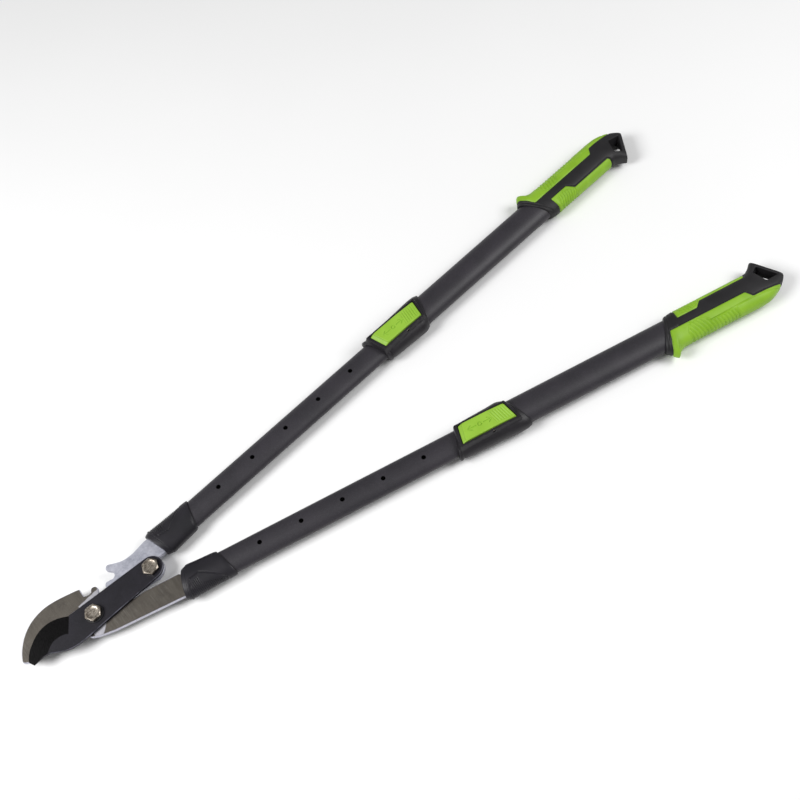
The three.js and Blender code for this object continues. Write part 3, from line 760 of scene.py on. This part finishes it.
def add_head():
    steel = (HEAD, "hook_half", "ground_steel", [hook_steel, sheared_steel_highlight])
    place("hook_plate_ground", "hook_plate", hook_plate(), *steel)
    coated = (HEAD, "blade", "blade_coating", [blade_coat, blade_bevel, blade_rim_highlight])
    place("cutting_blade_ground", "cutting_blade", cutting_blade(), *coated, angle=5)
    place("lever_gear_plated", "lever_gear", lever_gear(), HEAD, "lever_half", "zinc_plate", [zinc])
    for name, at, head, degrees, body in (("pivot", PIVOT, PIVOT_HEAD, 4, "hook_half"),
                                          ("gear", GEAR_BOLT, GEAR_HEAD, 14, "blade")):
        bolt = hex_bolt(name, at, head, math.radians(degrees))
        nut = hex_nut(name, at, math.radians(degrees + 12))
        below = washer(name, at, *WASHER_BELOW)
        bright = (HEAD, body, "nickel_steel", [nickel])
        plated = (HEAD, body, "zinc_plate", [zinc])
        place(f"{name}_bolt_turned", f"{name}_bolt", bolt, *bright, angle=24)
        place(f"{name}_nut_turned", f"{name}_nut", nut, *plated, angle=24)
        place(f"{name}_washer_below", f"{name}_lower_washer", below, *plated)
    above = washer("cover", PIVOT, *WASHER_ABOVE)
    place("pivot_washer_black", "pivot_washer", above, HEAD, "hook_half", "black_steel",
          [black_washer])


# -------- surfaces over a grid

def smooth_rows(stations, step):
    """The stations joined by a smooth curve that never overshoots, step millimetres apart."""
    rows = np.array(stations, float)
    gaps = np.diff(rows[:, 0])
    rates = np.diff(rows, axis=0) / gaps[:, None]
    slopes = np.zeros_like(rows)
    slopes[0], slopes[-1] = rates[0], rates[-1]
    before, after = rates[:-1], rates[1:]
    same = before * after > 0
    slopes[1:-1][same] = 2 * before[same] * after[same] / (before[same] + after[same])
    result = []
    for i, gap in enumerate(gaps):
        count = max(2, math.ceil(gap / step))
        for t in np.arange(count) / count:
            line = rows[i] * (2 * t**3 - 3 * t**2 + 1) + rows[i + 1] * (3 * t**2 - 2 * t**3)
            bend = slopes[i] * (t**3 - 2 * t**2 + t) + slopes[i + 1] * (t**3 - t**2)
            result.append(line + gap * bend)
    result.append(rows[-1])
    return np.array(result)


class Skin:
    """A closed body lofted through oval sections along X, as a grid of points that relief can
    be worked into. A station is (x, middle, half width, up, down, slant, power)."""

    def __init__(self, stations, step, around):
        rows = smooth_rows(stations, step)
        turn = np.linspace(0, 2 * math.pi, around, endpoint=False)
        x, middle, half, up, down, slant, power = (column[:, None] for column in rows.T)
        across = np.sign(np.cos(turn)) * np.abs(np.cos(turn)) ** (2 / power)
        rise = np.sign(np.sin(turn)) * np.abs(np.sin(turn)) ** (2 / power)
        self.y = middle + half * across
        self.z = np.where(rise > 0, up, down) * rise
        self.x = x + slant * self.y

    def normals(self):
        grid = np.stack([self.x, self.y, self.z], axis=-1)
        along = np.gradient(grid, axis=0)
        around = np.roll(grid, -1, axis=1) - np.roll(grid, 1, axis=1)
        normal = np.cross(around, along)
        return normal / np.maximum(np.linalg.norm(normal, axis=-1, keepdims=True), 1e-9)

    def push(self, amount):
        """Moves every point out by its amount in millimetres."""
        normal = self.normals()
        self.x = self.x + normal[..., 0] * amount
        self.y = self.y + normal[..., 1] * amount
        self.z = self.z + normal[..., 2] * amount

    def mesh(self, name):
        shell = Shell()
        rings = [shell.ring(zip(*row)) for row in zip(self.x, self.y, self.z)]
        for low, high in zip(rings, rings[1:]):
            shell.wall(high, low)
        shell.faces.append(tuple(rings[0]))
        shell.faces.append(tuple(rings[-1][::-1]))
        return outwards(shell.mesh(name))


def oval(x0, x1, a, b):
    """A straight oval bar along X, 2 a wide and 2 b high."""
    stations = [(x, 0, a, b, b, 0, 2) for x in (x0, x1)]
    return Skin(stations, step=1000, around=96).mesh("oval")


def prism(outline, z0, z1):
    return capped("prism", [lift(outline, z0), lift(outline, z1)])


def upright(x, radius, z0, z1):
    """A round bar along Z over the handle's middle."""
    return prism(circle((x, 0), radius, 40), z0, z1)


def ramp(value, low, high):
    """0 below low, 1 above high, smooth between."""
    t = np.clip((value - low) / (high - low), 0, 1)
    return t * t * (3 - 2 * t)


def ridges(value, pitch, sharpness):
    """Round ridges with narrow valleys: 1 on the crest, 0 in the valley."""
    return np.abs(np.cos(math.pi * value / pitch)) ** sharpness


def off_line(x, y, points):
    """Distance in plan from an open line."""
    nearest = np.full(x.shape, 1e9)
    for (ax, ay), (bx, by) in zip(points, points[1:]):
        ex, ey = bx - ax, by - ay
        t = np.clip(((x - ax) * ex + (y - ay) * ey) / (ex * ex + ey * ey), 0, 1)
        nearest = np.minimum(nearest, np.hypot(x - ax - t * ex, y - ay - t * ey))
    return nearest


def off_polygon(x, y, corners):
    """Distance in plan from a polygon's edge, less than zero inside it."""
    closed = corners + corners[:1]
    inside = np.zeros(x.shape, bool)
    for (ax, ay), (bx, by) in zip(closed, closed[1:]):
        if ay != by:
            inside ^= ((ay > y) != (by > y)) & (x < ax + (y - ay) * (bx - ax) / (by - ay))
    nearest = off_line(x, y, closed)
    return np.where(inside, -nearest, nearest)


def bead(distance, width):
    """A rounded bead or groove along a line: 1 on the line, 0 beyond width."""
    return np.clip(1 - (distance / width) ** 2, 0, 1)


# -------- handle: tubes and ferrule

def tube(front, rear, a, b, holes=()):
    """An oval tube. Each hole is (x, radius, z where it starts), and goes through the top."""
    bore = oval(front - 1, rear + 1, a - TUBE_WALL, b - TUBE_WALL)
    drills = [upright(x, radius, z0, b + 2) for x, radius, z0 in holes]
    return cut(oval(front, rear, a, b), bore, *drills)


def inner_tube():
    lock = [(x, 2.7, 0) for x in LOCK_HOLES]
    pins = [(x, PIN_HOLE_RADIUS, -INNER_TUBE[3] - 2) for x in TANG_PINS]
    return tube(*INNER_TUBE, holes=lock + pins)


MOUTH_SLANT = -0.21
# stations of a Skin
FERRULE = [
    (-1.0, 0, 15.9, 10.4, 10.4, MOUTH_SLANT, 2),
    (-0.6, 0, 16.7, 11.2, 11.2, MOUTH_SLANT, 2),
    (0.0, 0, 17.1, 11.5, 11.5, MOUTH_SLANT, 2),
    (4.3, 0, 19.0, 12.05, 12.05, MOUTH_SLANT, 2.05),
    (4.9, 0, 19.5, 12.4, 12.4, MOUTH_SLANT, 2.05),
    (6.0, 0, 19.6, 12.4, 12.4, -0.2, 2.05),
    (20, 0, 18.9, 12.0, 12.0, -0.05, 2.05),
    (45, 0, 17.8, 11.3, 11.3, 0.2, 2.05),
    (49, 0, 17.4, 10.9, 10.9, 0.33, 2),
    (50, 0, 16.9, 10.4, 10.4, 0.34, 2),
]
FERRULE_BED = [(2.5, 24), (7.2, 2.2), (19.5, -0.7), (27, 4), (35.5, 9.8), (43, 14.6), (50, 24)]
FERRULE_RIBS = [(3.5, 24), (6.4, 11), (10, 6), (16.6, 3.6), (17.4, 7.6), (20, 11.6), (42, 15.8),
                (47, 24)]


def ferrule():
    """The moulded socket: a bevelled mouth, and fine ribs in a shallow bed on its outer side."""
    skin = Skin(FERRULE, step=0.3, around=200)
    x, y = skin.x, skin.y
    bed = off_polygon(x, y, FERRULE_BED)
    grooves = (1 - ridges(x - 0.1 * y, 2.0, 0.7)) * ramp(-off_polygon(x, y, FERRULE_RIBS), 0, 0.8)
    mouth = np.abs(x - MOUTH_SLANT * y - 4.1)
    skin.push(-0.9 * grooves - 0.4 * ramp(-bed, -0.4, 0.4) - 0.7 * bead(bed, 0.9)
              - 0.35 * bead(mouth, 0.6))
    half = NECK + 0.3
    slot = prism([(-14, -half), (13, -half), (13, half), (-14, half)], -2.8, 2.8)
    return cut(skin.mesh("ferrule"), oval(12, 70, *INNER_BORE), slot)


# -------- handle: lock

ROCKER_FOOT = [(339.6, -10.8), (397, -10.8), (402.3, 10.6), (334.8, 11.2)]
ROCKER_TOP = [(343.8, -10.7), (396.6, -10.6), (401.8, 10.4), (339, 11)]
ROCKER_FRAME = [(335.2, -14), (399.6, -14), (406.2, 13.8), (330, 14.4)]
REAR_SLANT = 0.25
# places along the rocker, and the heights of its top and of its underside there
ROCKER_CROWN = ([337, 376, 402], [19.4, 18.9, 16.7])
ROCKER_BELOW = ([330, 376, 405], [12.2, 11.9, 14.4])
CROSS_HOLE = (1.7, 60)
MARK_X = 362
PEG_X = 341
SPRING_X = 390
SPRING_ENDS = (11.6, 15.6)
SPRING_COIL = 2.6
SPRING_WIRE = 0.4
SPRING_TURNS = 2.5

COLLAR = [
    (331.2, 0, 18.2, 10.4, 11.8, -0.3, 2),
    (331.8, 0, 19.4, 11.4, 12.8, -0.3, 2),
    (333.3, 0, 20.5, 12.5, 13.7, -0.3, 2),
    (335.0, 0, 20.3, 12.6, 13.6, -0.28, 2),
    (336.0, 0, 19.5, 12.2, 13.1, -0.26, 2),
    (337.4, 0, 20.1, 13.0, 13.7, -0.24, 2),
    (344, 0, 20.4, 14.2, 14.0, -0.1, 2.1),
    (380, 0, 21.6, 14.6, 14.4, 0.1, 2.2),
    (396, 0, 22.4, 14.6, 14.6, 0.25, 2.2),
    (401, 0, 22.3, 14.0, 14.5, 0.36, 2.1),
    (406, 0, 21.0, 12.9, 13.6, 0.41, 2),
    (407.4, 0, 20.3, 12.3, 13.1, 0.42, 2),
    (408, 0, 19.6, 11.8, 12.6, 0.42, 2),
]


def lock_collar():
    """The sliding collar: a rolled front lip and a raised frame round the rocker."""
    skin = Skin(COLLAR, step=0.45, around=200)
    x, y = skin.x, skin.y
    frame_top = 16.6 - 0.5 * ramp(x, 380, 402)
    edge = off_polygon(x, y, rounded(ROCKER_FRAME, 2))
    raised = np.maximum(skin.z, frame_top) - skin.z
    skin.z = skin.z + np.where(skin.z > 6, raised * ramp(-edge, -1.2, 0.6), 0)
    front_bore = oval(300, 360, *INNER_BORE)
    rear_bore = oval(OUTER_TUBE[0] - 0.3, 460, *OUTER_BORE)
    opening = prism(rounded(grown(ROCKER_FOOT, 0.6), 1.4), 0, 24)
    return cut(skin.mesh("lock_collar"), front_bore, rear_bore, opening, cross_pin(*CROSS_HOLE))


def cross_pin(radius, length):
    """The rocker's pin, with the edges of its ends broken."""
    half = length / 2
    turns = np.linspace(0, 2 * math.pi, 32, endpoint=False)
    rings = [[(PIN_X + r * math.cos(a), y, PIN_Z + r * math.sin(a)) for a in turns]
             for y, r in ((-half, radius - 0.3), (-half + 0.3, radius), (half - 0.3, radius),
                          (half, radius - 0.3))]
    return capped("cross_pin", rings)


def rocker_button():
    """The green rocker: ribs in a shallow bed at the rear, a sunk double arrow in front."""
    foot = np.array(rounded(ROCKER_FOOT, 1.4))
    top = np.array(rounded(ROCKER_TOP, 1.4))
    closed = [np.vstack([line, line[:1]]) for line in (foot, top)]
    sides = np.linalg.norm(np.diff(closed[0], axis=0), axis=1)
    lengths = np.concatenate([[0], np.cumsum(sides)])
    along = np.linspace(0, lengths[-1], 320, endpoint=False)
    foot, top = (np.column_stack([np.interp(along, lengths, line[:, k]) for k in (0, 1)])
                 for line in closed)
    # the top is a grid of shrinking copies of its outline, closest together at the edge
    edge = [1, 0.997, 0.99, 0.98, 0.965, 0.945, 0.92]
    scales = np.concatenate([edge, np.linspace(0.9, 0.02, 80)])[:, None]
    middle = top.mean(axis=0)
    x = middle[0] + scales * (top[:, 0] - middle[0])
    y = middle[1] + scales * (top[:, 1] - middle[1])
    z = np.interp(x, *ROCKER_CROWN)
    inward = -off_polygon(x, y, [tuple(point) for point in top[::6]])
    radius = 1.3
    z = z - radius + np.sqrt(np.maximum(radius**2 - np.clip(radius - inward, 0, radius) ** 2, 0))
    rear = x - REAR_SLANT * y
    bed = ramp(rear, 377.2, 378.4) * ramp(-rear, -397.6, -396.4) * ramp(8.3 - np.abs(y), 0, 1)
    z = z + bed * (-0.8 + 0.8 * ridges(rear - 379.4, 3.2, 0.8))
    z = z - 0.9 * arrow(x, y)
    shell = Shell()
    under = np.interp(foot[:, 0], *ROCKER_BELOW)
    rings = []
    # the wall stands upright round the peg's socket and leans in above it
    for lean, rise in ((0, 0), (0, 0.4), (0.1, 0.58), (0.6, 0.82)):
        level = under + rise * (z[0] - under)
        rings.append(shell.ring(np.column_stack([foot + lean * (top - foot), level])))
    rings += [shell.ring(zip(*row)) for row in zip(x, y, z)]
    shell.walls(rings)
    shell.fill(rings[:1], -1)
    shell.faces.append(tuple(rings[-1]))
    peg_boss = upright(PEG_X, 3.3, 10.4, 13)
    peg_socket = upright(PEG_X, 2.6, 5, 15.3)
    spring_seat = upright(SPRING_X, 3.5, 5, 15.9)
    body = combine(outwards(shell.mesh("rocker_button")), peg_boss, "UNION")
    return cut(body, peg_socket, spring_seat, cross_pin(*CROSS_HOLE))


def rocker_spring():
    """The small spring under the rear of the rocker."""
    start, end = SPRING_ENDS[0] + SPRING_WIRE, SPRING_ENDS[1] - SPRING_WIRE
    steps = 90
    up = Vector((0, 0, 1))
    rings = []
    for i in range(steps + 1):
        turn = 2 * math.pi * SPRING_TURNS * i / steps
        out = Vector((math.cos(turn), math.sin(turn), 0))
        middle = Vector((SPRING_X, 0, start + (end - start) * i / steps)) + out * SPRING_COIL
        rings.append([middle + SPRING_WIRE * (out * math.cos(a) + up * math.sin(a))
                      for a in (2 * math.pi * j / 12 for j in range(12))])
    return capped("rocker_spring", rings)


def arrow(x, y):
    """Depth of the slide mark: an open arrow to each end, with a small ring between them."""
    reach = np.abs(x - MARK_X)
    side = np.abs(y)
    shaft = np.maximum(side - 0.5, np.maximum(4.5 - reach, reach - 14))
    barb = np.maximum(np.abs(side - (14.6 - reach) * 0.8) * 0.78 - 0.5,
                      np.maximum(side - 3.4, reach - 15))
    ring = np.abs(np.hypot(reach, y) - 2.1) - 0.45
    return ramp(-np.minimum(np.minimum(shaft, barb), ring), -0.3, 0.3)


# -------- handle: grip

# Each row: a point of the outer silhouette, the point of the inner one across from it, the
# half height there, and the section's power.
GRIP_SECTIONS = [
    (588.5, 19.6, 608.5, -19.4, 12.4, 2.2),
    (589.3, 20.8, 608.9, -20.0, 12.9, 2.2),
    (592, 23.6, 610, -20.6, 13.2, 2.2),
    (596, 28.6, 611.5, -21.2, 13.6, 2.2),
    (598.9, 31, 613, -21.5, 13.6, 2.2),
    (601, 29.6, 614.5, -21.7, 13.6, 2.2),
    (604, 26.2, 616.5, -21.8, 13.6, 2.2),
    (613, 22.3, 621, -21.9, 13.6, 2.3),
    (640, 21.9, 640, -21.9, 13.6, 2.3),
    (712, 21.9, 712, -21.9, 13.6, 2.4),
    (724, 20.9, 718.5, -22.2, 13.2, 2.6),
    (733, 18.4, 723, -24.2, 12.2, 3),
    (742, 14.2, 727, -27, 10.8, 3.6),
    (749, 9.4, 729.6, -29.4, 9.4, 4.2),
    (753.6, 5, 731.2, -30.9, 8.4, 4.8),
    (755.2, 2.8, 732, -31.1, 8, 5),
    (755.8, 1.4, 732.4, -30.4, 7.2, 5),
]
SOFT_THICK = 2
BAND_CORNER = 1.5
FULL_HEIGHT = (-30, 30)
OUTER_BAND = [(586, 40), (593.4, 26.8), (603.1, 2.9), (701.4, 2.9), (707.7, 11.2),
              (749, 11.2), (749, 40)]
INNER_BAND = [(624, -40), (619.6, -7.4), (645.5, -7.4), (653.8, -15.6), (712, -15.6),
              (714.5, -18), (714.5, -40)]
# the well in the pommel, at its mouth and at its floor, and the hole through that floor
WELL = {8: [(732.5, 0.5), (725.5, -15), (733.5, -21.5), (749.5, -0.5)],
        -3.5: [(735, -3), (728.5, -14), (734, -19.5), (746, -4)]}
HANGING_HOLE = [(738.9, -2.2), (729, -11.8), (735.2, -18.6), (745.2, -7.3)]


def grip_skin(depth, step, around):
    """The grip's outer surface, or one that lies depth millimetres inside it."""
    stations = []
    for x_outer, outer, x_inner, inner, up, power in GRIP_SECTIONS:
        slant = (x_outer - x_inner) / (outer - inner)
        stations.append((x_outer - slant * outer, (outer + inner) / 2,
                         (outer - inner) / 2 - depth, up - depth, up - depth, slant, power))
    return Skin(sorted(stations), step, around)


def grip_relief(skin, soft):
    """Relief of the outer skin: grooves round the covers and the well, then the ribs of the
    soft covers or the groove behind the core's front ring."""
    x, y = skin.x, skin.y
    outer = off_polygon(x, y, OUTER_BAND)
    inner = off_polygon(x, y, INNER_BAND)
    border = np.minimum(np.abs(outer), np.abs(inner))
    mouth = np.where(skin.z > 0, off_polygon(x, y, rounded(WELL[8], 2)), 9)
    front = np.abs(x + 0.51 * y - 602.4)
    amount = -1.0 * bead(border, 1.3) - 0.5 * bead(mouth, 1.1)
    if soft:
        amount = amount - outer_ribs(x, y) * (outer < 0) - inner_ribs(x, y) * (inner < 0)
    else:
        amount = amount - 0.6 * bead(front, 1.0)
    skin.push(amount)
    return skin


def outer_ribs(x, y):
    """Depth of the ribs under the palm and of the crease along the outer cover."""
    bed = [(625, 6), (637.5, 4.5), (645, 6.7), (650.5, 13.6), (684, 14), (687, 40), (628, 40),
           (620.5, 15.5)]
    edge = off_polygon(x, y, bed)
    ribs = ramp(-edge, 0.6, 1.4) * (1 - ridges(x - 0.46 * y, 4.6, 0.8))
    crease = off_line(x, y, [(650.5, 13.6), (669, 13), (705, 12.3), (724, 13.7), (741, 15.8)])
    return 1.2 * ribs + 0.7 * bead(edge, 0.9) + 0.7 * bead(crease, 0.9)


def inner_ribs(x, y):
    """Depth of the ribs under the fingertips, each bowed towards the front."""
    bed = [(626, -40), (626.5, -12.4), (633.5, -9.4), (641, -10.4), (647.5, -13.2), (652.4, -18),
           (654, -40)]
    edge = off_polygon(x, y, bed)
    ribs = ramp(-edge, 0.6, 1.4) * (1 - ridges(x + 0.05 * (y + 12) ** 2, 3.8, 0.8))
    return 1.0 * ribs + 0.6 * bead(edge, 0.9)


def overmould(band):
    """A soft cover: the part of the grip's skin that lies in the band, SOFT_THICK deep."""
    skin = grip_relief(grip_skin(0, 0.5, 220), soft=True)
    zone = prism(rounded(band, BAND_CORNER), *FULL_HEIGHT)
    cover = combine(skin.mesh("cover"), zone, "INTERSECT")
    return cut(cover, grip_skin(SOFT_THICK, 3, 80).mesh("under"))


def well():
    """The space of the tapered well in the top of the pommel."""
    (z1, mouth), (z0, floor) = WELL.items()
    rings = []
    for z in (z0, z0 + 0.5, 14):
        share = (z - z0) / (z1 - z0)
        shrink = 0.5 if z == z0 else 0
        corners = [tuple(Vector(low).lerp(Vector(high), share)) for low, high in zip(floor, mouth)]
        rings.append(lift(inset(rounded(corners, 1.8), shrink), z))
    return capped("well", rings)


def grip_core():
    """The black body: its own skin between the covers, and a smaller one under them."""
    skin = grip_relief(grip_skin(0, 0.6, 160), soft=False)
    zones = [prism(grown(rounded(band, BAND_CORNER), 0.25), *FULL_HEIGHT)
             for band in (OUTER_BAND[::-1], INNER_BAND)]
    under = grip_skin(SOFT_THICK + 0.3, 3, 80).mesh("under")
    core = combine(cut(skin.mesh("core"), *zones), under, "UNION")
    bore = oval(560, OUTER_TUBE[1] + 0.3, *OUTER_BORE)
    hole = prism(rounded(HANGING_HOLE, 3), -30, -2.5)
    return cut(core, bore, well(), hole)


def add_handles():
    made = {
        "ferrule": (ferrule(), "black_plastic", black_plastic, None),
        "inner_tube": (inner_tube(), "tube_paint", tube_paint, None),
        "outer_tube": (tube(*OUTER_TUBE), "tube_paint", tube_paint, "handle"),
        "lock_collar": (lock_collar(), "black_plastic", collar_plastic, "handle"),
        "rocker_pin": (cross_pin(1.4, 27), "nickel_steel", nickel, "handle"),
        "rocker_spring": (rocker_spring(), "spring_steel", nickel, "handle"),
        "rocker_button": (rocker_button(), "green_plastic", green_hard, "rocker"),
        "grip_core": (grip_core(), "black_plastic", grip_plastic, "handle"),
        "grip_outer_cover": (overmould(OUTER_BAND), "green_overmould", green_soft, "handle"),
        "grip_inner_cover": (overmould(INNER_BAND), "green_overmould", green_soft, "handle"),
    }
    fixed_to = {"upper": "lever_half", "lower": "hook_half"}
    for name, matrix in HANDLES.items():
        for part, (mesh, slot, material, moving) in made.items():
            body = f"{name}_{moving}" if moving else fixed_to[name]
            node = f"{name}_{part}"
            piece = place(f"{node}_shaped", node, mesh, matrix, body, slot, [material])
            if part == "rocker_spring":
                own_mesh(piece)


# -------- CAD nodes that stay

KEPT_NODES = {
    "tang_insert": black_plastic,
    "front_tang_pin": zinc,
    "rear_tang_pin": zinc,
    "glide_plug": black_plastic,
    "lock_peg": nickel,
}


def finish_kept_nodes():
    for name in HANDLES:
        for part, material in KEPT_NODES.items():
            mesh = frame["nodes"][f"{name}_{part}"].data
            mesh.materials.clear()
            mesh.materials.append(material)
            for face in mesh.polygons:
                face.material_index = 0


# -------- floor, light and camera

def floor_paper():
    finish = Finish("floor_paper", Roughness=0.85)
    finish.colour(finish.mix(finish.noise(0.4, 3), (240, 240, 240), (246, 246, 246)))
    return finish.material


def add_floor():
    shell = Shell()
    reach = 4
    corners = [(-reach, -reach), (reach, -reach), (reach, reach), (-reach, reach)]
    shell.faces.append(tuple(shell.level(corners, -0.0003)))
    mesh = shell.mesh("floor")
    mesh.materials.append(floor_paper())
    add_object("floor", mesh)


def add_light(name, place_at, size, energy):
    """A square lamp that faces the middle of the loppers."""
    lamp = bpy.data.lights.new(name, "AREA")
    lamp.size = size
    lamp.energy = energy
    light = add_object(name, lamp)
    light.location = place_at
    light.rotation_euler = (-Vector(place_at)).to_track_quat("-Z", "Y").to_euler()


def add_studio():
    world = bpy.data.worlds.new("studio")
    world.use_nodes = True
    background = world.node_tree.nodes["Background"]
    background.inputs["Color"].default_value = (1, 1, 1, 1)
    background.inputs["Strength"].default_value = 0.3
    scene = bpy.context.scene
    scene.world = world
    scene.view_settings.view_transform = "Standard"
    add_light("key", (-1.4, 0.2, 1.5), size=0.9, energy=34)
    add_light("fill", (1.3, -0.7, 1.5), size=0.9, energy=21)


def add_camera():
    camera = bpy.data.cameras.new("camera")
    camera.sensor_width = 36
    camera.lens = 51.4
    item = add_object("camera", camera)
    right = Vector((0.81136, -0.57001, -0.12956))
    up = Vector((0.55637, 0.68508, 0.47022))
    turn = Matrix((right, up, right.cross(up))).transposed().to_4x4()
    eye = (-0.20678, -0.58157, 1.14899)
    item.matrix_world = Matrix.Translation(eye) @ turn
    bpy.context.scene.camera = item


add_head()
add_handles()
finish_kept_nodes()
add_floor()
add_studio()
add_camera()
